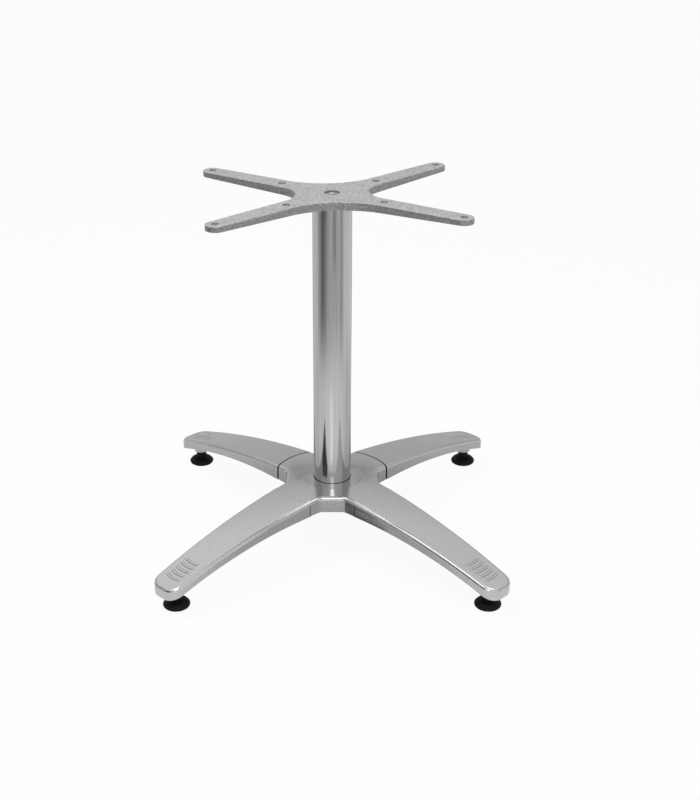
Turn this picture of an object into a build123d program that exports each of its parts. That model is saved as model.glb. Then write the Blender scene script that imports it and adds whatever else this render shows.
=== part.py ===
import os
from math import asin, cos, degrees, hypot, radians, sin

from build123d import *

os.makedirs("parts", exist_ok=True)

# Four-leg pedestal table base. Millimetres, +Z up, the front towards -Y.
# The origin is on the floor, on the column's axis.

# Overall sizes
overall_height = 725.0
hub_top = 123.0
hub_depth = 34.5

# Column tube and the two spigots that centre it
column_diameter = 76.0
column_wall = 2.0
socket_gap = 1.5
socket_depth = 5.0
spigot_height = 12.0
spigot_wall = 6.0
slip_clearance = 0.2

# Arched top of the base in a leg's own plane, by radius from the column's axis and height
land_radius = 64.0
arch_mid_radius = 270.0
arch_mid_height = 100.0
leg_reach = 457.0
tip_height = 55.0
leg_mid_depth = 21.0
leg_tip_depth = 21.5

# Outline of the base seen from above
joint_radius = 121.0
leg_root_width = 98.0
leg_tip_width = 67.0
tip_corner_radius = 26.0
web_distance = 95.7
web_corner_radius = 18.0
edge_radius = 6.5

# Walls of the castings
casting_wall = 5.0
top_skin = 5.0
joint_wall = 14.0
hub_boss_wall = 10.0
hub_boss_height = 26.0
rib_thickness = 6.0
leg_rib_depth = 9.0
leg_step = 1.2
front_joint_gap = 0.2
rear_joint_gap = 1.8

# Leg bolts, two to a leg
bolt_diameter = 8.0
bolt_length = 26.0
bolt_head_flats = 13.0
bolt_head_height = 5.3
bolt_spacing = 46.0
bolt_drop = 20.0
bolt_clearance = 0.5
thread_clearance = 0.05
washer_diameter = 16.0
washer_thickness = 1.6

# Tie rod through the column, with its nut and washer under the hub
rod_diameter = 12.0
rod_clearance = 0.5
rod_end_drop = 0.6
rod_end_chamfer = 1.0
rod_recess_diameter = 30.0
rod_recess_depth = 3.0
rod_boss_diameter = 28.0
rod_nut_flats = 18.0
rod_nut_height = 10.8
rod_washer_diameter = 40.0
rod_washer_thickness = 3.0
rod_tail = 4.0

# Levelling feet
foot_inset = 37.0
pad_diameter = 52.0
pad_base_diameter = 48.0
pad_rim_height = 5.0
pad_dome_height = 14.0
pad_dome_bulge = -2.2
neck_diameter = 22.0
neck_height = 32.0
stud_diameter = 10.0
stud_top = 51.0
stud_sink = 24.0
stud_clearance = 0.08
foot_boss_diameter = 31.0
foot_boss_draft = 5.0
foot_boss_bottom = 30.0
neck_seat_depth = 8.0
neck_seat_gap = 1.2
stud_room = 6.0

# Grip bars on the leg tips
grip_count = 5
grip_inset = 30.0
grip_pitch = 11.8
grip_length = 34.0
grip_width = 5.0
grip_height = 1.0
grip_edge_radius = 0.7
grip_bow_radius = 56.0

# Top spider
spider_turn = 5.0
arm_spread = 37.3
spider_root_thickness = 16.5
spider_tip_thickness = 10.5
spider_plate = 6.0
spider_rim = 5.5
spider_hub_radius = 52.0
spider_edge_radius = 1.5
arm_root_width = 46.0
arm_tip_width = 37.0
side_waist_radius = 54.0
front_waist_radius = 136.0
arm_hole_radius = 280.0
root_hole_radius = 114.0
screw_hole_diameter = 8.0
screw_hole_chamfer = 2.4
screw_boss_diameter = 22.0

# Leg directions in degrees from +X, and the one in which the leg's form is made
leg_angles = {"front_left": 225, "front_right": 315, "rear_left": 135, "rear_right": 45}
form_angle = 45

# Sizes that follow from the driving ones
hub_bottom = hub_top - hub_depth
foot_radius = leg_reach - foot_inset
column_radius = column_diameter / 2
column_foot = hub_top - socket_depth
spigot_radius = column_radius - column_wall - slip_clearance
spider_bottom = overall_height - spider_root_thickness
spider_reach = arm_hole_radius + arm_tip_width / 2
hub_inner_flat = joint_radius - joint_wall
leg_inner_flat = joint_radius + joint_wall
bolt_height = hub_top - bolt_drop
bolt_seat = hub_inner_flat - washer_thickness
rod_seat = hub_top - hub_boss_height
nut_top = rod_seat - rod_washer_thickness
nut_bottom = nut_top - rod_nut_height
rod_top = overall_height - rod_end_drop
up_from_base = (Align.CENTER, Align.CENTER, Align.MIN)


def polar(radius, angle, height=0.0):
    return (radius * cos(radians(angle)), radius * sin(radians(angle)), height)


def across_plane(radius, angle, height):
    """Upright plane across a leg, facing outwards, with its origin on the leg's middle line."""
    return Plane(origin=polar(radius, angle, height), x_dir=polar(1, angle + 90), z_dir=polar(1, angle))


def hexagon_radius(flats):
    return flats / 2 / cos(radians(30))


# Outline of hub and legs from above: a square hub with a tapering leg on each corner
leg_slope = (leg_root_width - leg_tip_width) / 2 / (leg_reach - joint_radius)
centre_half_width = leg_root_width / 2 + leg_slope * joint_radius
with BuildSketch() as base_plan:
    with PolarLocations(0, 4, start_angle=form_angle):
        Polygon(
            (0, -centre_half_width),
            (leg_reach, -leg_tip_width / 2),
            (leg_reach, leg_tip_width / 2),
            (0, centre_half_width),
            align=None,
        )
    Rectangle(2 * web_distance, 2 * web_distance)
    fillet(base_plan.vertices().filter_by(lambda v: hypot(v.X, v.Y) > leg_reach), tip_corner_radius)
    fillet(base_plan.vertices().filter_by(lambda v: hypot(v.X, v.Y) < joint_radius), web_corner_radius)

# Arched upper surface turned about the column's axis, solid down to the floor
with BuildPart() as arch_form:
    with BuildSketch(Plane.XZ):
        with BuildLine():
            land = Line((0, hub_top), (land_radius, hub_top))
            arch = ThreePointArc(land @ 1, (arch_mid_radius, arch_mid_height), (leg_reach, tip_height))
            arch_tail = Line(arch @ 1, arch @ 1 + (arch % 1) * tip_corner_radius)
            Polyline(arch_tail @ 1, ((arch_tail @ 1).X, 0), (0, 0), land @ 0)
        make_face()
    revolve(axis=Axis.Z)

# Space under the castings' lower edges
with BuildPart() as under_form:
    with BuildSketch(Plane.XZ):
        with BuildLine():
            hub_base = Line((0, hub_bottom), (joint_radius, hub_bottom))
            under_arch = ThreePointArc(
                hub_base @ 1,
                (arch_mid_radius, arch_mid_height - leg_mid_depth),
                (leg_reach, tip_height - leg_tip_depth),
            )
            under_tail = Line(under_arch @ 1, under_arch @ 1 + (under_arch % 1) * tip_corner_radius)
            Polyline(under_tail @ 1, ((under_tail @ 1).X, -hub_top), (0, -hub_top), hub_base @ 0)
        make_face()
    revolve(axis=Axis.Z)

# Whole base as one rounded form, which the joints divide into hub and legs: the hub's a little narrower
base_forms = {}
for casting, inset in (("hub", leg_step), ("leg", 0)):
    with BuildPart() as base_form:
        with BuildSketch():
            add(base_plan.sketch)
            if inset:
                offset(amount=-inset, mode=Mode.REPLACE)
        extrude(amount=hub_top)
        add(arch_form.part, mode=Mode.INTERSECT)
        arched_top = base_form.faces().filter_by(GeomType.REVOLUTION).sort_by(SortBy.AREA)[-1]
        fillet(arched_top.outer_wire().edges(), edge_radius)
        add(under_form.part, mode=Mode.SUBTRACT)
    base_forms[casting] = base_form.part

# Hollow inside the castings, one wall in from the outline and one skin under the top
with BuildPart() as hollow_form:
    with BuildSketch():
        add(base_plan.sketch)
        offset(amount=-casting_wall, mode=Mode.REPLACE)
    extrude(amount=hub_top)
    add(arch_form.part.moved(Location((0, 0, -top_skin))), mode=Mode.INTERSECT)

# Hollow of the hub alone: flat inner faces for the leg bolts, a boss and a cross of ribs left standing
with BuildPart() as hub_hollow:
    add(hollow_form.part)
    Box(2 * hub_inner_flat, 2 * hub_inner_flat, 3 * hub_top, rotation=(0, 0, form_angle), mode=Mode.INTERSECT)
    with Locations((0, 0, rod_seat)):
        Cylinder(column_radius + socket_gap + hub_boss_wall, hub_top, align=up_from_base, mode=Mode.SUBTRACT)
        Box(2 * web_distance, rib_thickness, hub_top, align=up_from_base, mode=Mode.SUBTRACT)
        Box(rib_thickness, 2 * web_distance, hub_top, align=up_from_base, mode=Mode.SUBTRACT)

# Hub casting: round joint faces for the legs, a ring socket with a spigot for the column
with BuildPart() as hub:
    add(base_forms["hub"])
    Cylinder(joint_radius, 3 * hub_top, mode=Mode.INTERSECT)
    add(hub_hollow.part, mode=Mode.SUBTRACT)
    with Locations((0, 0, column_foot)):
        Cylinder(column_radius + socket_gap, hub_depth, align=up_from_base, mode=Mode.SUBTRACT)
        Cylinder(spigot_radius, spigot_height, align=up_from_base)
    Cylinder(rod_diameter / 2 + rod_clearance, 3 * hub_top, mode=Mode.SUBTRACT)
    for angle in leg_angles.values():
        with BuildSketch(across_plane(joint_radius - 2 * joint_wall, angle, bolt_height)):
            with GridLocations(bolt_spacing, 0, 2, 1):
                Circle(bolt_diameter / 2 + bolt_clearance)
        extrude(amount=3 * joint_wall, mode=Mode.SUBTRACT)
hub.part.label = "hub_casting"
export_step(hub.part, "parts/hub_casting.step")

# Hollow of one leg, from its thick joint wall to the tip
with BuildPart() as leg_hollow:
    add(hollow_form.part)
    with BuildSketch(across_plane(leg_inner_flat, form_angle, 0)):
        Rectangle(2 * leg_root_width, 3 * hub_top)
    extrude(amount=leg_reach, mode=Mode.INTERSECT)

# Shallow rib under the middle of the leg's top
with BuildPart() as leg_rib:
    with BuildSketch(across_plane(leg_inner_flat, form_angle, 0)):
        Rectangle(rib_thickness, 3 * hub_top)
    extrude(amount=foot_radius - leg_inner_flat)
    add(arch_form.part.moved(Location((0, 0, -top_skin / 2))), mode=Mode.INTERSECT)
    add(arch_form.part.moved(Location((0, 0, -top_skin - leg_rib_depth))), mode=Mode.SUBTRACT)

# Conical boss for the foot, up into the leg's skin
with BuildPart() as foot_boss:
    with BuildSketch(Plane.XY.offset(foot_boss_bottom)):
        with Locations(polar(foot_radius, form_angle)):
            Circle(foot_boss_diameter / 2)
    extrude(amount=hub_top, taper=-foot_boss_draft)
    add(arch_form.part.moved(Location((0, 0, -top_skin / 2))), mode=Mode.INTERSECT)

# Bowed grip bars, which follow the arch and stand a little proud of it
grip_half_angle = degrees(asin(grip_length / 2 / grip_bow_radius))
grip_bows = []
for number in range(grip_count):
    bow_centre = leg_reach - grip_inset - number * grip_pitch - grip_bow_radius
    with BuildLine() as bow:
        CenterArc((bow_centre, 0), grip_bow_radius, -grip_half_angle, 2 * grip_half_angle)
    grip_bows.append(bow.edge())
with BuildPart() as grip_bars:
    with BuildSketch(Plane(origin=(0, 0, 0), x_dir=polar(1, form_angle), z_dir=(0, 0, 1))):
        for bow_edge in grip_bows:
            SlotArc(bow_edge, grip_width)
    extrude(amount=hub_top)
    add(arch_form.part.moved(Location((0, 0, grip_height))), mode=Mode.INTERSECT)
    add(arch_form.part.moved(Location((0, 0, -top_skin / 2))), mode=Mode.SUBTRACT)
    grip_tops = grip_bars.faces().filter_by(lambda face: face.normal_at().Z > 0.5)
    fillet([edge for grip_top in grip_tops for edge in grip_top.edges()], grip_edge_radius)

# One leg casting, before its joint face is cut
with BuildPart() as leg_form:
    add(base_forms["leg"])
    with BuildSketch(across_plane(hub_inner_flat, form_angle, 0)):
        Rectangle(2 * leg_root_width, 3 * hub_top)
    extrude(amount=leg_reach, mode=Mode.INTERSECT)
    add(leg_hollow.part, mode=Mode.SUBTRACT)
    add(leg_rib.part)
    add(foot_boss.part)
    add(grip_bars.part)
    with Locations(polar(foot_radius, form_angle)):
        stud_bore_top = stud_top + stud_room
        Cylinder(
            stud_diameter / 2 + stud_clearance, stud_bore_top, align=up_from_base, mode=Mode.SUBTRACT
        )
        Cylinder(
            neck_diameter / 2 + neck_seat_gap,
            foot_boss_bottom + neck_seat_depth,
            align=up_from_base,
            mode=Mode.SUBTRACT,
        )
    with BuildSketch(across_plane(hub_inner_flat, form_angle, bolt_height)):
        with GridLocations(bolt_spacing, 0, 2, 1):
            Circle(bolt_diameter / 2 + thread_clearance)
    extrude(amount=3 * joint_wall, mode=Mode.SUBTRACT)

# The four legs: drawn up tight in front, standing a little open behind
for name, angle in leg_angles.items():
    joint_gap = rear_joint_gap if name.startswith("rear") else front_joint_gap
    with BuildPart() as leg:
        add(leg_form.part.rotate(Axis.Z, angle - form_angle))
        Cylinder(joint_radius + joint_gap, 3 * hub_top, mode=Mode.SUBTRACT)
    leg.part.label = f"{name}_leg"
    export_step(leg.part, f"parts/{name}_leg.step")

# Leg bolts with their heads inside the hub, and the washers under the heads
for name, angle in leg_angles.items():
    with BuildPart() as bolts:
        with BuildSketch(across_plane(bolt_seat - bolt_head_height, angle, bolt_height)):
            with GridLocations(bolt_spacing, 0, 2, 1):
                RegularPolygon(hexagon_radius(bolt_head_flats), 6)
        extrude(amount=bolt_head_height)
        with BuildSketch(across_plane(bolt_seat, angle, bolt_height)):
            with GridLocations(bolt_spacing, 0, 2, 1):
                Circle(bolt_diameter / 2)
        extrude(amount=bolt_length)
    bolts.part.label = f"{name}_leg_bolts"
    export_step(bolts.part, f"parts/{name}_leg_bolts.step")
    with BuildPart() as washers:
        with BuildSketch(across_plane(bolt_seat, angle, bolt_height)):
            with GridLocations(bolt_spacing, 0, 2, 1):
                Circle(washer_diameter / 2)
                Circle(bolt_diameter / 2 + bolt_clearance, mode=Mode.SUBTRACT)
        extrude(amount=washer_thickness)
    washers.part.label = f"{name}_leg_washers"
    export_step(washers.part, f"parts/{name}_leg_washers.step")

# Levelling feet: a domed pad with a thick neck, moulded round a threaded stud
pad_radius = pad_diameter / 2
neck_radius = neck_diameter / 2
for name, angle in leg_angles.items():
    with BuildPart() as pad:
        with BuildSketch(Plane.XZ):
            with BuildLine():
                sole = Line((0, 0), (pad_base_diameter / 2, 0))
                rim = RadiusArc(sole @ 1, (pad_radius, pad_rim_height), -pad_rim_height)
                dome = SagittaArc(rim @ 1, (neck_radius, pad_dome_height), pad_dome_bulge)
                Polyline(dome @ 1, (neck_radius, neck_height), (0, neck_height), sole @ 0)
            make_face()
        revolve(axis=Axis.Z)
        with Locations((0, 0, neck_height - stud_sink)):
            Cylinder(
                stud_diameter / 2 + thread_clearance, neck_height, align=up_from_base, mode=Mode.SUBTRACT
            )
    foot_place = Location(polar(foot_radius, angle))
    placed_pad = pad.part.moved(foot_place)
    placed_pad.label = f"{name}_foot_pad"
    export_step(placed_pad, f"parts/{name}_foot_pad.step")
    with BuildPart() as stud:
        with BuildSketch(Plane.XY.offset(neck_height - stud_sink)):
            with Locations(polar(foot_radius, angle)):
                Circle(stud_diameter / 2)
        extrude(amount=stud_top - neck_height + stud_sink)
        chamfer(stud.faces().sort_by(Axis.Z)[-1].edges(), rod_end_chamfer)
    stud.part.label = f"{name}_foot_stud"
    export_step(stud.part, f"parts/{name}_foot_stud.step")

# Column tube, from the socket's floor to the underside of the spider
with BuildPart() as column:
    with BuildSketch(Plane.XY.offset(column_foot)):
        Circle(column_radius)
        Circle(column_radius - column_wall, mode=Mode.SUBTRACT)
    extrude(amount=spider_bottom - column_foot)
column.part.label = "column_tube"
export_step(column.part, "parts/column_tube.step")

# Outline of the top spider: four tapering arms with round ends, closer together at the sides
arm_angles = [side + sign * arm_spread + spider_turn for side in (0, 180) for sign in (-1, 1)]
arm_turns = [Location((0, 0, 0), (0, 0, angle)) for angle in arm_angles]
with BuildSketch(Plane.XY.offset(spider_bottom)) as spider_plan:
    with Locations(*arm_turns):
        Polygon(
            (0, -arm_root_width / 2),
            (arm_hole_radius, -arm_tip_width / 2),
            (arm_hole_radius, arm_tip_width / 2),
            (0, arm_root_width / 2),
            align=None,
        )
    for waist_radius in (side_waist_radius, front_waist_radius):
        corners = spider_plan.vertices().filter_by(lambda v: hypot(v.X, v.Y) < arm_root_width)
        fillet(corners.sort_by(lambda v: hypot(v.X, v.Y))[-2:], waist_radius)
    with Locations(*[polar(arm_hole_radius, angle) for angle in arm_angles]):
        Circle(arm_tip_width / 2)

# Body of the spider: flat on top, its underside rising towards the arm tips
with BuildPart() as spider_depth:
    with BuildSketch(Plane.XZ):
        Polygon(
            (0, overall_height),
            (spider_reach, overall_height),
            (spider_reach, overall_height - spider_tip_thickness),
            (spider_hub_radius, spider_bottom),
            (0, spider_bottom),
            align=None,
        )
    revolve(axis=Axis.Z)

# Hollows under the arms, inside a rim and round a boss at each inner screw hole
with BuildPart() as arm_hollow:
    with BuildSketch(Plane.XY.offset(spider_bottom)):
        add(spider_plan.sketch)
        offset(amount=-spider_rim, mode=Mode.REPLACE)
        Circle(arm_hole_radius - screw_boss_diameter / 2, mode=Mode.INTERSECT)
        Circle(spider_hub_radius, mode=Mode.SUBTRACT)
        with Locations(*[polar(root_hole_radius, angle) for angle in arm_angles]):
            Circle(screw_boss_diameter / 2, mode=Mode.SUBTRACT)
    extrude(amount=spider_root_thickness - spider_plate)

# Top spider, with a spigot inside the column and a threaded boss for the tie rod
with BuildPart() as spider:
    add(spider_plan.sketch)
    extrude(amount=spider_root_thickness)
    add(spider_depth.part, mode=Mode.INTERSECT)
    fillet(spider.faces().sort_by(Axis.Z)[-1].outer_wire().edges(), spider_edge_radius)
    add(arm_hollow.part, mode=Mode.SUBTRACT)
    with BuildSketch(Plane.XY.offset(spider_bottom)):
        Circle(spigot_radius)
        Circle(spigot_radius - spigot_wall, mode=Mode.SUBTRACT)
        Circle(rod_boss_diameter / 2)
    extrude(amount=-spigot_height)
    with Locations((0, 0, overall_height)):
        Cylinder(rod_recess_diameter / 2, 2 * rod_recess_depth, mode=Mode.SUBTRACT)
        Cylinder(rod_diameter / 2 + thread_clearance, overall_height, mode=Mode.SUBTRACT)
    with Locations((0, 0, overall_height)):
        for hole_circle in (arm_hole_radius, root_hole_radius):
            with Locations(*[polar(hole_circle, angle) for angle in arm_angles]):
                Cylinder(screw_hole_diameter / 2, 3 * spider_root_thickness, mode=Mode.SUBTRACT)
    hole_rims = spider.faces().sort_by(Axis.Z)[-1].inner_wires()
    screw_rims = [rim for rim in hole_rims if hypot(rim.center().X, rim.center().Y) > rod_recess_diameter]
    chamfer([edge for rim in screw_rims for edge in rim.edges()], screw_hole_chamfer)
spider.part.label = "top_spider"
export_step(spider.part, "parts/top_spider.step")

# Tie rod from the spider down through the hub
with BuildPart() as rod:
    with BuildSketch(Plane.XY.offset(nut_bottom - rod_tail)):
        Circle(rod_diameter / 2)
    extrude(amount=rod_top - nut_bottom + rod_tail)
    chamfer(rod.faces().filter_by(Axis.Z).edges(), rod_end_chamfer)
rod.part.label = "tie_rod"
export_step(rod.part, "parts/tie_rod.step")

with BuildPart() as rod_washer:
    with BuildSketch(Plane.XY.offset(nut_top)):
        Circle(rod_washer_diameter / 2)
        Circle(rod_diameter / 2 + rod_clearance, mode=Mode.SUBTRACT)
    extrude(amount=rod_washer_thickness)
rod_washer.part.label = "tie_rod_washer"
export_step(rod_washer.part, "parts/tie_rod_washer.step")

with BuildPart() as rod_nut:
    with BuildSketch(Plane.XY.offset(nut_bottom)):
        RegularPolygon(hexagon_radius(rod_nut_flats), 6)
        Circle(rod_diameter / 2 + thread_clearance, mode=Mode.SUBTRACT)
    extrude(amount=rod_nut_height)
rod_nut.part.label = "tie_rod_nut"
export_step(rod_nut.part, "parts/tie_rod_nut.step")
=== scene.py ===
from math import cos, radians, sin

import bmesh
import bpy
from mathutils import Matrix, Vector


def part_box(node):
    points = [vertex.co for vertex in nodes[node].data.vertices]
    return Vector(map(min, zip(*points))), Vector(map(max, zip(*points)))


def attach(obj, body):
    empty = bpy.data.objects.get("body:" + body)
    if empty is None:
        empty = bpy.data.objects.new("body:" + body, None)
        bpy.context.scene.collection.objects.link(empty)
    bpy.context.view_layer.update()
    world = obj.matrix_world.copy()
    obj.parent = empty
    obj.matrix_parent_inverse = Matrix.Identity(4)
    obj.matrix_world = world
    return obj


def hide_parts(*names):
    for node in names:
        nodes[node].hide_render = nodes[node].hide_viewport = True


# Pedestal table base: polished cast legs and hub, drawn column, sand-cast spider, black feet.
# Metres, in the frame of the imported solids: floor at z 0, the column on the z axis, front towards -y.
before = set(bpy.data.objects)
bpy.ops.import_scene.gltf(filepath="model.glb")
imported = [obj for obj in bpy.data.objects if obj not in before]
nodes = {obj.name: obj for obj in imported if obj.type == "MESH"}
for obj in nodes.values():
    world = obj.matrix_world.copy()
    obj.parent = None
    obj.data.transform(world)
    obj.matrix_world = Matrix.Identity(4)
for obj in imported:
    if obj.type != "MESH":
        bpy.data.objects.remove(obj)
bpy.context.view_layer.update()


# Materials

def hex_colour(code):
    """sRGB hex to linear RGBA."""
    channels = [int(code[i:i + 2], 16) / 255 for i in (1, 3, 5)]
    linear = [c / 12.92 if c <= 0.04045 else ((c + 0.055) / 1.055) ** 2.4 for c in channels]
    return (*linear, 1.0)


def add_node(tree, kind, settings=None, links=None):
    """Adds one node. Settings go to its sockets, by name or number, or else to its properties.

    Links give the output that feeds each input, by name or number.
    """
    node = tree.nodes.new(kind)
    for key, value in (settings or {}).items():
        if isinstance(key, int) or key in node.inputs:
            node.inputs[key].default_value = value
        else:
            setattr(node, key, value)
    for key, source in (links or {}).items():
        tree.links.new(source, node.inputs[key])
    return node


def new_finish(name, settings):
    """A named material with its shader set to the finish's own constant values."""
    finish = bpy.data.materials.new(name)
    finish.use_nodes = True
    tree = finish.node_tree
    shader = tree.nodes["Principled BSDF"]
    for socket, value in settings.items():
        shader.inputs[socket].default_value = value
    return finish, tree, shader


def per_mm(size):
    """Texture scale in repeats to the metre for a feature of that size in millimetres."""
    return 1000.0 / size


# Most of a noise texture's values lie between these two
noise_low = 0.3
noise_high = 0.7

# Polished cast aluminium, buffed by hand: a soft mirror, faintly wavy, with a grey grain that is drawn
# coarse enough to show. Painted shade darkens the joint gaps round the hub: the rear ones all over, the
# front ones only on their walls, below the buffed edge. Thin lines of painted shadow run along the
# flanks of the front legs' bowed grip bars, darker on the side towards the hub.
cast_grain_mm = 2.6
cast_tones = ((noise_low, "#B1B1B1"), (noise_high, "#C5C5C5"))
cast_haze_mm = 24
cast_roughness = (0.11, 0.17)
# Tone of the painted shade in the joint gaps and of the painted shadow on the grip flanks; widths of the
# painted shade in the rear and front joints
painted_shade_tone = hex_colour("#202020")
joint_radius = 0.1219
rear_gap_shade = 0.0016
front_gap_shade = 0.0008
buffed_edge = 0.114
leg_bearing = radians(45)
grip_count = 5
grip_pitch = 0.0118
grip_bow = 0.056
grip_half_length = 0.0175
last_grip = 0.427
# Place and width of the painted shadow lines on the grip flanks, and their depth on the inner and outer side
flank_line = 0.0023
flank_shade_width = 0.001
inner_flank_shade = 0.5
outer_flank_shade = 0.2

polished_cast, tree, shader = new_finish("polished_cast_aluminium", {"Metallic": 1.0})
place = add_node(tree, "ShaderNodeTexCoord")
grain = add_node(
    tree, "ShaderNodeTexNoise",
    {"Scale": per_mm(cast_grain_mm), "Detail": 3.0, "Roughness": 0.6},
    {"Vector": place.outputs["Object"]},
)
tone = add_node(tree, "ShaderNodeValToRGB", {}, {"Fac": grain.outputs["Fac"]})
for stop, (position, code) in zip(tone.color_ramp.elements, cast_tones):
    stop.position = position
    stop.color = hex_colour(code)

# Painted shade in the joint gaps, by the distance from the column's axis
axes = add_node(tree, "ShaderNodeSeparateXYZ", {}, {"Vector": place.outputs["Object"]})
flat = add_node(tree, "ShaderNodeMapping", {"Scale": (1.0, 1.0, 0.0)}, {"Vector": place.outputs["Object"]})
radius = add_node(tree, "ShaderNodeVectorMath", {"operation": "LENGTH"}, {0: flat.outputs["Vector"]})
behind = add_node(tree, "ShaderNodeMath", {"operation": "GREATER_THAN", 1: 0.0}, {0: axes.outputs["Y"]})
on_wall = add_node(tree, "ShaderNodeMath", {"operation": "LESS_THAN", 1: buffed_edge}, {0: axes.outputs["Z"]})
front_width = add_node(
    tree, "ShaderNodeMath", {"operation": "MULTIPLY", 1: front_gap_shade}, {0: on_wall.outputs["Value"]}
)
joint_width = add_node(
    tree, "ShaderNodeMix",
    {"data_type": "FLOAT", "B": rear_gap_shade},
    {"Factor": behind.outputs["Value"], "A": front_width.outputs["Value"]},
)
in_joint = add_node(
    tree, "ShaderNodeMath",
    {"operation": "COMPARE", 1: joint_radius},
    {0: radius.outputs["Value"], 2: joint_width.outputs[0]},
)

# Painted shadow along the flanks of the grip bars: all four legs are laid on one, and the bow is taken out of
# its bars
one_leg = add_node(tree, "ShaderNodeVectorMath", {"operation": "ABSOLUTE"}, {0: place.outputs["Object"]})
laid_leg = add_node(
    tree, "ShaderNodeMapping", {"Rotation": (0.0, 0.0, -leg_bearing)}, {"Vector": one_leg.outputs["Vector"]}
)
leg_axes = add_node(tree, "ShaderNodeSeparateXYZ", {}, {"Vector": laid_leg.outputs["Vector"]})
across = add_node(tree, "ShaderNodeMath", {"operation": "POWER", 1: 2.0}, {0: leg_axes.outputs["Y"]})
bow_square = add_node(
    tree, "ShaderNodeMath", {"operation": "SUBTRACT", 0: grip_bow ** 2}, {1: across.outputs["Value"]}
)
bow_rise = add_node(tree, "ShaderNodeMath", {"operation": "SQRT"}, {0: bow_square.outputs["Value"]})
bow_centre = add_node(
    tree, "ShaderNodeMath",
    {"operation": "SUBTRACT"},
    {0: leg_axes.outputs["X"], 1: bow_rise.outputs["Value"]},
)
from_last = add_node(
    tree, "ShaderNodeMath",
    {"operation": "SUBTRACT", 1: last_grip - grip_bow},
    {0: bow_centre.outputs["Value"]},
)
from_grip = add_node(
    tree, "ShaderNodeMath",
    {"operation": "WRAP", 1: grip_pitch / 2, 2: -grip_pitch / 2},
    {0: from_last.outputs["Value"]},
)
grip_gap = add_node(tree, "ShaderNodeMath", {"operation": "ABSOLUTE"}, {0: from_grip.outputs["Value"]})
on_flank = add_node(
    tree, "ShaderNodeMath",
    {"operation": "COMPARE", 1: flank_line, 2: flank_shade_width},
    {0: grip_gap.outputs["Value"]},
)
among_grips = add_node(
    tree, "ShaderNodeMath",
    {"operation": "COMPARE", 1: -grip_pitch * (grip_count - 1) / 2, 2: grip_pitch * grip_count / 2},
    {0: from_last.outputs["Value"]},
)
between_ends = add_node(
    tree, "ShaderNodeMath",
    {"operation": "COMPARE", 1: 0.0, 2: grip_half_length},
    {0: leg_axes.outputs["Y"]},
)
grip_zone = add_node(
    tree, "ShaderNodeMath",
    {"operation": "MULTIPLY"},
    {0: among_grips.outputs["Value"], 1: between_ends.outputs["Value"]},
)
flank_zone = add_node(
    tree, "ShaderNodeMath",
    {"operation": "MULTIPLY"},
    {0: grip_zone.outputs["Value"], 1: on_flank.outputs["Value"]},
)
flank_share = add_node(
    tree, "ShaderNodeMapRange",
    {"From Min": -flank_line, "From Max": flank_line, "To Min": inner_flank_shade, "To Max": outer_flank_shade},
    {"Value": from_grip.outputs["Value"]},
)
front_share = add_node(
    tree, "ShaderNodeMix",
    {"data_type": "FLOAT", "B": 0.0},
    {"Factor": behind.outputs["Value"], "A": flank_share.outputs["Result"]},
)
flank_shade = add_node(
    tree, "ShaderNodeMath",
    {"operation": "MULTIPLY"},
    {0: flank_zone.outputs["Value"], 1: front_share.outputs[0]},
)
all_painted_shade = add_node(
    tree, "ShaderNodeMath",
    {"operation": "MAXIMUM"},
    {0: in_joint.outputs["Value"], 1: flank_shade.outputs["Value"]},
)
# The grain's tone, darkened by the painted shade and shadow
cast_shaded_tone = add_node(
    tree, "ShaderNodeMix",
    {"data_type": "RGBA", 7: painted_shade_tone},
    {"Factor": all_painted_shade.outputs["Value"], 6: tone.outputs["Color"]},
)

# Haze and waves that the buffing wheel leaves
haze = add_node(
    tree, "ShaderNodeTexNoise",
    {"Scale": per_mm(cast_haze_mm), "Detail": 3.0, "Roughness": 0.55},
    {"Vector": place.outputs["Object"]},
)
haze_level = add_node(
    tree, "ShaderNodeMapRange",
    {"From Min": noise_low, "From Max": noise_high, "To Min": cast_roughness[0], "To Max": cast_roughness[1]},
    {"Value": haze.outputs["Fac"]},
)
waves = add_node(
    tree, "ShaderNodeBump", {"Strength": 0.25, "Distance": 0.00008}, {"Height": haze.outputs["Fac"]}
)
tree.links.new(cast_shaded_tone.outputs[2], shader.inputs["Base Color"])
tree.links.new(haze_level.outputs["Result"], shader.inputs["Roughness"])
tree.links.new(waves.outputs["Normal"], shader.inputs["Normal"])

# Drawn aluminium tube, polished along its length: a mirror free of waves, with upright draw lines that
# are drawn coarse enough to show
draw_line_mm = 1.8
draw_stretch = 0.01
tube_tones = ((noise_low, "#B4B4B4"), (noise_high, "#C0C0C0"))
tube_roughness = (0.11, 0.17)

drawn_tube, tree, shader = new_finish("drawn_polished_tube", {"Metallic": 1.0})
place = add_node(tree, "ShaderNodeTexCoord")
stretch = add_node(
    tree, "ShaderNodeMapping", {"Scale": (1.0, 1.0, draw_stretch)}, {"Vector": place.outputs["Object"]}
)
lines = add_node(
    tree, "ShaderNodeTexNoise",
    {"Scale": per_mm(draw_line_mm), "Detail": 2.0},
    {"Vector": stretch.outputs["Vector"]},
)
tone = add_node(tree, "ShaderNodeValToRGB", {}, {"Fac": lines.outputs["Fac"]})
for stop, (position, code) in zip(tone.color_ramp.elements, tube_tones):
    stop.position = position
    stop.color = hex_colour(code)
line_level = add_node(
    tree, "ShaderNodeMapRange",
    {"From Min": noise_low, "From Max": noise_high, "To Min": tube_roughness[0], "To Max": tube_roughness[1]},
    {"Value": lines.outputs["Fac"]},
)
tree.links.new(tone.outputs["Color"], shader.inputs["Base Color"])
tree.links.new(line_level.outputs["Result"], shader.inputs["Roughness"])
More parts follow.
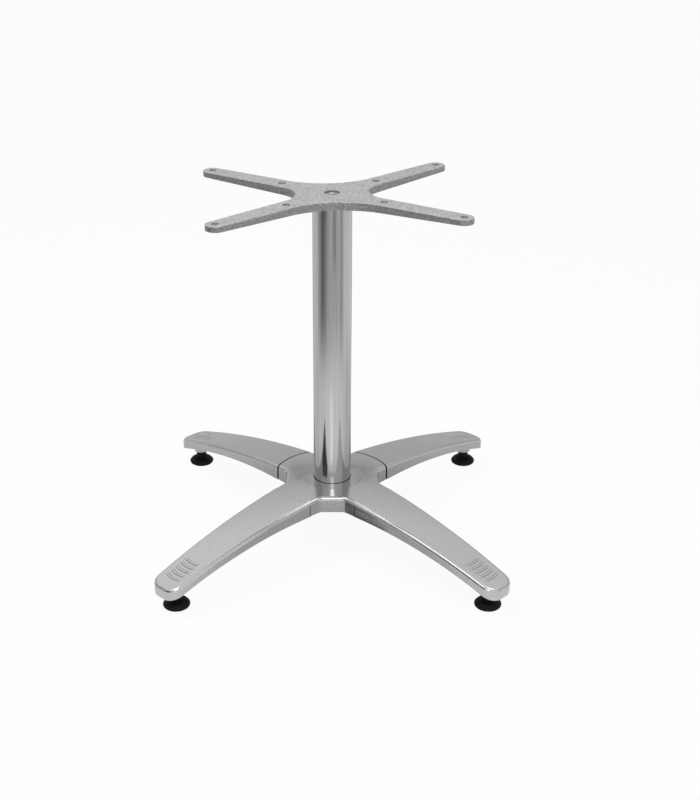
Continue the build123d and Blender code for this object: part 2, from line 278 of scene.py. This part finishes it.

# Sand-cast aluminium, left raw: a dull, grainy skin with dark specks where the sand stuck, drawn coarse
# enough to show. Painted shade makes its sides darker than its top, and a ring of painted shade
# darkens the rim of each drilled hole.
sand_grain_mm = 1.8
sand_blotch_mm = 4.2
sand_tones = ((0.36, "#8F8F8F"), (0.62, "#D5D5D5"))
# Painted shade on the sides, ramped in over a narrow band below the top
side_shade_tone = 0.68
spider_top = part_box("top_spider")[1].z
side_shade_band = 0.0018
arm_turn = radians(5.0)
arm_spread = radians(37.3)
hole_circles = (0.280, 0.114)
# Radius, width and depth of the ring of painted shade round each hole
hole_rim = 0.0061
rim_shade_width = 0.0011
rim_shade_level = 0.4

sand_cast, tree, shader = new_finish("sand_cast_aluminium", {"Metallic": 1.0, "Roughness": 0.6})
place = add_node(tree, "ShaderNodeTexCoord")
grain = add_node(
    tree, "ShaderNodeTexNoise",
    {"Scale": per_mm(sand_grain_mm), "Detail": 3.0, "Roughness": 0.6},
    {"Vector": place.outputs["Object"]},
)
blotch = add_node(
    tree, "ShaderNodeTexNoise",
    {"Scale": per_mm(sand_blotch_mm), "Detail": 4.0, "Roughness": 0.65},
    {"Vector": place.outputs["Object"]},
)
sand = add_node(
    tree, "ShaderNodeMix",
    {"data_type": "FLOAT", "Factor": 0.5},
    {"A": grain.outputs["Fac"], "B": blotch.outputs["Fac"]},
)
mottle = add_node(tree, "ShaderNodeValToRGB", {}, {"Fac": sand.outputs[0]})
for stop, (position, code) in zip(mottle.color_ramp.elements, sand_tones):
    stop.position = position
    stop.color = hex_colour(code)
axes = add_node(tree, "ShaderNodeSeparateXYZ", {}, {"Vector": place.outputs["Object"]})
# Painted shade: the sides darker than the top
side_shade = add_node(
    tree, "ShaderNodeMapRange",
    {"From Min": spider_top - side_shade_band, "From Max": spider_top, "To Min": side_shade_tone, "To Max": 1.0},
    {"Value": axes.outputs["Z"]},
)

# Painted shade round the holes: all four arms are laid on one, which has a hole on each circle
laid_arms = add_node(
    tree, "ShaderNodeMapping",
    {"Rotation": (0.0, 0.0, -arm_turn), "Scale": (1.0, 1.0, 0.0)},
    {"Vector": place.outputs["Object"]},
)
one_arm = add_node(tree, "ShaderNodeVectorMath", {"operation": "ABSOLUTE"}, {0: laid_arms.outputs["Vector"]})
from_hole = add_node(tree, "ShaderNodeMath", {"operation": "MINIMUM"})
for number, circle in enumerate(hole_circles):
    hole_place = (circle * cos(arm_spread), circle * sin(arm_spread), 0.0)
    hole_gap = add_node(
        tree, "ShaderNodeVectorMath",
        {"operation": "DISTANCE", 1: hole_place},
        {0: one_arm.outputs["Vector"]},
    )
    tree.links.new(hole_gap.outputs["Value"], from_hole.inputs[number])
on_rim = add_node(
    tree, "ShaderNodeMath",
    {"operation": "COMPARE", 1: hole_rim, 2: rim_shade_width},
    {0: from_hole.outputs["Value"]},
)
rim_shade = add_node(
    tree, "ShaderNodeMapRange", {"To Min": 1.0, "To Max": rim_shade_level}, {"Value": on_rim.outputs["Value"]}
)
# The painted shade of the sides and of the hole rims together
sand_shade = add_node(
    tree, "ShaderNodeMath",
    {"operation": "MULTIPLY"},
    {0: side_shade.outputs["Result"], 1: rim_shade.outputs["Result"]},
)
sand_shaded_tone = add_node(
    tree, "ShaderNodeVectorMath",
    {"operation": "SCALE"},
    {"Scale": sand_shade.outputs["Value"], 0: mottle.outputs["Color"]},
)
skin = add_node(tree, "ShaderNodeBump", {"Strength": 0.6, "Distance": 0.0005}, {"Height": sand.outputs[0]})
tree.links.new(sand_shaded_tone.outputs["Vector"], shader.inputs["Base Color"])
tree.links.new(skin.outputs["Normal"], shader.inputs["Normal"])

# Zinc-plated steel: bright, a little bluish, softly blurred by patches of the plating
zinc_patch_mm = 4.0
zinc_roughness = (0.24, 0.42)

zinc_steel, tree, shader = new_finish(
    "zinc_plated_steel", {"Metallic": 1.0, "Base Color": hex_colour("#B6B7B8")}
)
place = add_node(tree, "ShaderNodeTexCoord")
patches = add_node(
    tree, "ShaderNodeTexNoise",
    {"Scale": per_mm(zinc_patch_mm), "Detail": 2.0},
    {"Vector": place.outputs["Object"]},
)
patch_level = add_node(
    tree, "ShaderNodeMapRange",
    {"To Min": zinc_roughness[0], "To Max": zinc_roughness[1]},
    {"Value": patches.outputs["Fac"]},
)
tree.links.new(patch_level.outputs["Result"], shader.inputs["Roughness"])

# Black polypropylene, moulded with a spark-eroded grain, which is drawn coarse enough to show: dull,
# with a soft sheen on the dome
mould_grain_mm = 1.0
mould_roughness = (0.5, 0.65)

black_plastic, tree, shader = new_finish(
    "moulded_black_polypropylene",
    {"Base Color": hex_colour("#101010"), "IOR": 1.49, "Specular IOR Level": 0.15},
)
place = add_node(tree, "ShaderNodeTexCoord")
grain = add_node(
    tree, "ShaderNodeTexNoise",
    {"Scale": per_mm(mould_grain_mm), "Detail": 2.0},
    {"Vector": place.outputs["Object"]},
)
sheen_level = add_node(
    tree, "ShaderNodeMapRange",
    {"To Min": mould_roughness[0], "To Max": mould_roughness[1]},
    {"Value": grain.outputs["Fac"]},
)
mould_skin = add_node(
    tree, "ShaderNodeBump", {"Strength": 0.15, "Distance": 0.0002}, {"Height": grain.outputs["Fac"]}
)
tree.links.new(sheen_level.outputs["Result"], shader.inputs["Roughness"])
tree.links.new(mould_skin.outputs["Normal"], shader.inputs["Normal"])


def finish_piece(piece, finish):
    """Gives a piece one finish all over."""
    piece.data.materials.clear()
    piece.data.materials.append(finish)


for name, node in nodes.items():
    if name.endswith("_pad"):
        finish_piece(node, black_plastic)
    elif name == "top_spider":
        finish_piece(node, sand_cast)
    elif name == "column_tube":
        finish_piece(node, drawn_tube)
    elif name == "hub_casting" or name.endswith("_leg"):
        finish_piece(node, polished_cast)
    else:
        finish_piece(node, zinc_steel)


# Column

column_sides = 240
column_wall = 0.002
rim_break = 0.0004
same_place = 1e-5


def select_only(piece, kind, wanted):
    """Selects only the faces, or the edges, that answer to the test, in edit mode."""
    bpy.ops.mesh.select_mode(type=kind)
    bpy.ops.mesh.select_all(action="DESELECT")
    shape = bmesh.from_edit_mesh(piece.data)
    for element in shape.faces if kind == "FACE" else shape.edges:
        element.select_set(wanted(element))
    bmesh.update_edit_mesh(piece.data)


def is_end(face):
    """True for a face that closes an end of the column."""
    return abs(face.normal.z) > 0.9


def is_rim(edge):
    """True for an edge that runs round the column, not along it or across its wall."""
    first, second = edge.verts
    same_height = abs(first.co.z - second.co.z) < same_place
    same_radius = abs(first.co.xy.length - second.co.xy.length) < same_place
    return same_height and same_radius


def model_column():
    """The drawn tube: a cylinder opened at both ends, its wall turned in and its four rims broken."""
    low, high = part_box("column_tube")
    mid_wall = high.x - column_wall / 2

    def is_inner_boundary(edge):
        return edge.is_boundary and all(vertex.co.xy.length < mid_wall for vertex in edge.verts)

    bpy.ops.object.select_all(action="DESELECT")
    bpy.ops.mesh.primitive_cylinder_add(
        vertices=column_sides, radius=high.x, depth=high.z - low.z, location=(0.0, 0.0, (low.z + high.z) / 2)
    )
    column = bpy.context.object
    column.name = "drawn_column"
    bpy.ops.object.transform_apply(location=True)
    bpy.ops.object.mode_set(mode="EDIT")
    select_only(column, "FACE", is_end)
    bpy.ops.mesh.inset(thickness=column_wall)
    bpy.ops.mesh.delete(type="FACE")
    select_only(column, "EDGE", is_inner_boundary)
    bpy.ops.mesh.bridge_edge_loops()
    select_only(column, "EDGE", is_rim)
    bpy.ops.mesh.bevel(offset=rim_break, segments=1, affect="EDGES")
    bpy.ops.mesh.select_all(action="SELECT")
    bpy.ops.mesh.normals_make_consistent(inside=False)
    bpy.ops.object.mode_set(mode="OBJECT")
    bpy.ops.object.shade_smooth_by_angle(angle=radians(30))
    finish_piece(column, drawn_tube)
    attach(column, "base")
    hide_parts("column_tube")


model_column()


# Studio

scene = bpy.context.scene
scene.view_settings.view_transform = "Standard"

# Camera as fitted to the photograph, which gives its focal length and the place of its axis in pixels
photo_width = 700
photo_height = 800
focal_pixels = 1459.7
axis_pixel = 332.21
camera_place = (0.0, -2.657, 1.5373)
camera_dip = 25.09
camera_data = bpy.data.cameras.new("camera")
camera = bpy.data.objects.new("camera", camera_data)
scene.collection.objects.link(camera)
camera.location = camera_place
camera.rotation_euler = (radians(90 - camera_dip), 0.0, 0.0)
camera_data.sensor_width = 36.0
camera_data.lens = focal_pixels * camera_data.sensor_width / photo_height
camera_data.shift_x = (photo_width / 2 - axis_pixel) / photo_height
camera_data.clip_end = 50.0
scene.camera = camera


def backdrop_sight(tree):
    """An output that is 1 for the camera, gloss and glass, which see the backdrop itself, and else 0."""
    path = add_node(tree, "ShaderNodeLightPath")
    seen = add_node(
        tree, "ShaderNodeMath",
        {"operation": "ADD", "use_clamp": True},
        {0: path.outputs["Is Camera Ray"], 1: path.outputs["Is Glossy Ray"]},
    )
    seen_all = add_node(
        tree, "ShaderNodeMath",
        {"operation": "ADD", "use_clamp": True},
        {0: seen.outputs["Value"], 1: path.outputs["Is Transmission Ray"]},
    )
    return seen_all.outputs["Value"]


# World: white to look at, and half as strong as a light
world_light = 0.5
world = bpy.data.worlds.new("studio")
scene.world = world
world.use_nodes = True
tree = world.node_tree
strength = add_node(
    tree, "ShaderNodeMapRange", {"To Min": world_light, "To Max": 1.0}, {"Value": backdrop_sight(tree)}
)
tree.links.new(strength.outputs["Result"], tree.nodes["Background"].inputs["Strength"])
tree.nodes["Background"].inputs["Color"].default_value = hex_colour("#FFFFFF")

# Pale floor: white to the camera and in reflections, with part of its plain shading kept for the shadow
floor_size = 16.0
floor_height = -0.0004
white_share = 0.93
floor_finish = bpy.data.materials.new("pale_floor")
floor_finish.use_nodes = True
tree = floor_finish.node_tree
tree.nodes.remove(tree.nodes["Principled BSDF"])
paint = add_node(tree, "ShaderNodeBsdfDiffuse", {"Color": hex_colour("#F7F7F7")})
glow = add_node(tree, "ShaderNodeEmission", {"Color": hex_colour("#FFFFFF"), "Strength": 1.0})
share = add_node(
    tree, "ShaderNodeMapRange", {"To Min": 0.0, "To Max": white_share}, {"Value": backdrop_sight(tree)}
)
mix = add_node(
    tree, "ShaderNodeMixShader",
    {},
    {"Fac": share.outputs["Result"], 1: paint.outputs["BSDF"], 2: glow.outputs["Emission"]},
)
tree.links.new(mix.outputs["Shader"], tree.nodes["Material Output"].inputs["Surface"])

bpy.ops.object.select_all(action="DESELECT")
bpy.ops.mesh.primitive_plane_add(size=floor_size, location=(0.0, 0.0, floor_height))
floor = bpy.context.object
floor.name = "floor"
finish_piece(floor, floor_finish)


# Cards for the metal to mirror; those on the floor lie in layers, a hair apart
banded_floor_height = 0.0004
floor_card_height = 0.0008
overhead_height = 2.6


def studio_card(name, corners, level=1.0):
    """A four-cornered glowing card that only gloss sees. Returns its paint's node tree and glow."""
    bpy.ops.object.select_all(action="DESELECT")
    bpy.ops.mesh.primitive_plane_add(size=1.0)
    card = bpy.context.object
    card.name = name
    ring = [card.data.loops[i].vertex_index for i in card.data.polygons[0].loop_indices]
    for vertex, corner in zip(ring, corners):
        card.data.vertices[vertex].co = corner
    paint = bpy.data.materials.new(name)
    paint.use_nodes = True
    tree = paint.node_tree
    tree.nodes.remove(tree.nodes["Principled BSDF"])
    glow = add_node(tree, "ShaderNodeEmission", {"Color": hex_colour("#FFFFFF"), "Strength": level})
    tree.links.new(glow.outputs["Emission"], tree.nodes["Material Output"].inputs["Surface"])
    finish_piece(card, paint)
    card.visible_camera = False
    card.visible_diffuse = False
    card.visible_transmission = False
    card.visible_shadow = False
    return tree, glow


def floor_card(name, bearings, reach, level):
    """A flat card on the floor, between two bearings in degrees from the camera's side and two distances."""
    (start, end), (near, far) = bearings, reach
    turns = ((start, near), (start, far), (end, far), (end, near))
    corners = [(d * sin(radians(a)), -d * cos(radians(a)), floor_card_height) for a, d in turns]
    studio_card(name, corners, level)


def upright_card(name, start, end, low, high, level=1.0):
    """A card that stands over the line from start to end, between two heights."""
    return studio_card(name, ((*start, low), (*end, low), (*end, high), (*start, high)), level)


def overhead_card(name, corners, level):
    """A level card over the object."""
    studio_card(name, [(x, y, overhead_height) for x, y in corners], level)


# Floor as the metal sees it: grey levels by bearing, in degrees from the camera's side, which draw the
# upright bands on the column. The near floor is plainer than the far one, and darkens under the object.
near_bands = (
    (-180, 0.7), (-150, 0.76), (-95, 0.8), (-65, 0.93), (-20, 1.0), (40, 1.0), (68, 0.92), (90, 0.72),
    (130, 0.72), (180, 0.7),
)
far_bands = (
    (-180, 0.6), (-168, 0.62), (-158, 0.35), (-148, 0.8), (-96, 0.8), (-84, 0.52), (-70, 0.36), (-64, 0.19),
    (-51, 0.19), (-44, 0.28), (-27, 0.48), (-13, 0.6), (24, 0.62), (41, 0.68), (48, 0.5), (55, 0.42),
    (62, 0.6), (76, 0.88), (130, 0.9), (148, 0.85), (158, 0.3), (170, 0.35), (180, 0.6),
)
banded_half = 4.0
shade_reach = (0.18, 0.5)
shade_level = 0.55
far_reach = (0.68, 1.3)
banded_corners = [(banded_half * x, banded_half * y) for x, y in ((-1, -1), (1, -1), (1, 1), (-1, 1))]
tree, glow = studio_card("banded_floor", [(x, y, banded_floor_height) for x, y in banded_corners])
place = add_node(tree, "ShaderNodeTexCoord")
turned = add_node(
    tree, "ShaderNodeMapping", {"Rotation": (0.0, 0.0, radians(90))}, {"Vector": place.outputs["Object"]}
)
bearing = add_node(
    tree, "ShaderNodeTexGradient", {"gradient_type": "RADIAL"}, {"Vector": turned.outputs["Vector"]}
)
ramps = []
for bands in (near_bands, far_bands):
    ramp = add_node(tree, "ShaderNodeValToRGB", {}, {"Fac": bearing.outputs["Fac"]})
    stops = ramp.color_ramp.elements
    for _ in bands[2:]:
        stops.new(0.5)
    for stop, (angle, level) in zip(stops, bands):
        stop.position = angle / 360 + 0.5
        stop.color = (level, level, level, 1.0)
    ramps.append(ramp)
near_ramp, far_ramp = ramps
distance = add_node(tree, "ShaderNodeVectorMath", {"operation": "LENGTH"}, {0: place.outputs["Object"]})
shade = add_node(
    tree, "ShaderNodeMapRange",
    {
        "interpolation_type": "SMOOTHSTEP",
        "From Min": shade_reach[0], "From Max": shade_reach[1], "To Min": shade_level,
    },
    {"Value": distance.outputs["Value"]},
)
far_share = add_node(
    tree, "ShaderNodeMapRange",
    {"interpolation_type": "SMOOTHSTEP", "From Min": far_reach[0], "From Max": far_reach[1]},
    {"Value": distance.outputs["Value"]},
)
mix = add_node(
    tree, "ShaderNodeMix",
    {"data_type": "RGBA"},
    {"Factor": far_share.outputs["Result"], 6: near_ramp.outputs["Color"], 7: far_ramp.outputs["Color"]},
)
tree.links.new(mix.outputs[2], glow.inputs["Color"])
tree.links.new(shade.outputs["Result"], glow.inputs["Strength"])

# Cards on the floor for the middle of the column
floor_card("middle_dark_card", bearings=(4, 23), reach=(1.7, 3.8), level=0.38)
floor_card("middle_bright_card", bearings=(-13, 4), reach=(0.36, 0.72), level=1.3)

# Shadows on the floor beside the front left leg
floor_card("leg_shadow_front", bearings=(-60, -14), reach=(0.1, 0.2), level=0.12)
floor_card("leg_shadow_under", bearings=(-60, -28), reach=(0.2, 0.27), level=0.15)
floor_card("leg_shadow_left", bearings=(-57, -51), reach=(0.2, 0.41), level=0.08)

# Wall behind as the metal sees it, paler upwards and to the left
tree, glow = upright_card("back_wall", start=(-3.0, 2.4), end=(3.0, 2.4), low=0.0, high=3.6)
place = add_node(tree, "ShaderNodeTexCoord")
axes = add_node(tree, "ShaderNodeSeparateXYZ", {}, {"Vector": place.outputs["Object"]})
rise = add_node(
    tree, "ShaderNodeMapRange",
    {"interpolation_type": "SMOOTHSTEP", "From Min": 1.2, "From Max": 2.8, "To Min": 0.66, "To Max": 1.0},
    {"Value": axes.outputs["Z"]},
)
lean = add_node(
    tree, "ShaderNodeMapRange",
    {"From Min": -1.5, "From Max": 1.5, "To Min": 1.05, "To Max": 0.9},
    {"Value": axes.outputs["X"]},
)
wall_level = add_node(
    tree, "ShaderNodeMath",
    {"operation": "MULTIPLY"},
    {0: rise.outputs["Result"], 1: lean.outputs["Result"]},
)
tree.links.new(wall_level.outputs["Value"], glow.inputs["Strength"])

# On that wall, a dark flag that the flat land of the hub mirrors, a bright strip above it, and a small
# bright card for the end of the tie rod
upright_card("land_flag", start=(-0.3, 2.38), end=(0.3, 2.38), low=1.15, high=1.5, level=0.4)
upright_card("back_strip", start=(-0.3, 2.36), end=(0.3, 2.36), low=2.45, high=3.2, level=3.0)
upright_card("rod_glint", start=(-0.06, 2.34), end=(0.06, 2.34), low=1.42, high=1.53, level=2.2)

# Grey walls at the sides, which keep the rounded edges of the rear legs as plain as their tops
for side, x in (("left", -2.4), ("right", 2.4)):
    upright_card(f"{side}_wall", start=(x, -1.2), end=(x, 2.4), low=0.5, high=2.55, level=0.66)

# Bright card behind the camera, which glints at the foot of the column and in the hub before it
upright_card("camera_card", start=(-0.5, -3.0), end=(0.5, -3.0), low=1.62, high=2.3, level=2.2)

# Dark flag low on the left, which lines the front edge of the right leg and the end of the left one
upright_card("left_flag", start=(-2.2, -1.6), end=(-2.2, 0.8), low=0.1, high=0.45, level=0.06)

# Dark flag to the front left, which the column sees by way of the left leg
upright_card("front_left_flag", start=(-2.12, -1.13), end=(-1.2, -2.08), low=0.0, high=1.25, level=0.04)

# Slanting bright strip overhead on the left, which draws the line along the front edge of the right leg
overhead_card("left_strip", ((-1.7, 0.05), (-1.0, 0.35), (-0.15, -0.65), (-0.7, -1.2)), level=3.5)

# Dark flag overhead on the right, against the soft light on the left
overhead_card("right_flag", ((0.4, -0.6), (0.95, -0.6), (0.95, 0.2), (0.4, 0.2)), level=0.4)


def softbox(name, place, aim, size, power):
    """A soft area lamp at a place, turned towards the aim."""
    lamp_data = bpy.data.lights.new(name, "AREA")
    lamp_data.shape = "RECTANGLE"
    lamp_data.size, lamp_data.size_y = size
    lamp_data.energy = power
    lamp = bpy.data.objects.new(name, lamp_data)
    scene.collection.objects.link(lamp)
    lamp.location = place
    lamp.rotation_euler = (Vector(aim) - Vector(place)).to_track_quat("-Z", "Y").to_euler()
    return lamp


# Soft lamps; the metal doesn't mirror the left one or the fill
left_light = softbox("left_light", place=(-1.05, 0.25, 2.6), aim=(0, 0, 0.1), size=(1.0, 1.1), power=24)
left_light.visible_glossy = False
softbox("right_light", place=(1.25, 0.6, 2.6), aim=(0, 0, 0.1), size=(0.5, 0.5), power=2.5)
softbox("camera_light", place=(0.0, -2.4, 2.3), aim=(0, 0, 0.1), size=(1.1, 1.0), power=9)
fill_light = softbox("fill_light", place=(1.6, -2.2, 2.0), aim=(0, 0, 0.3), size=(1.4, 1.4), power=14)
fill_light.visible_glossy = False
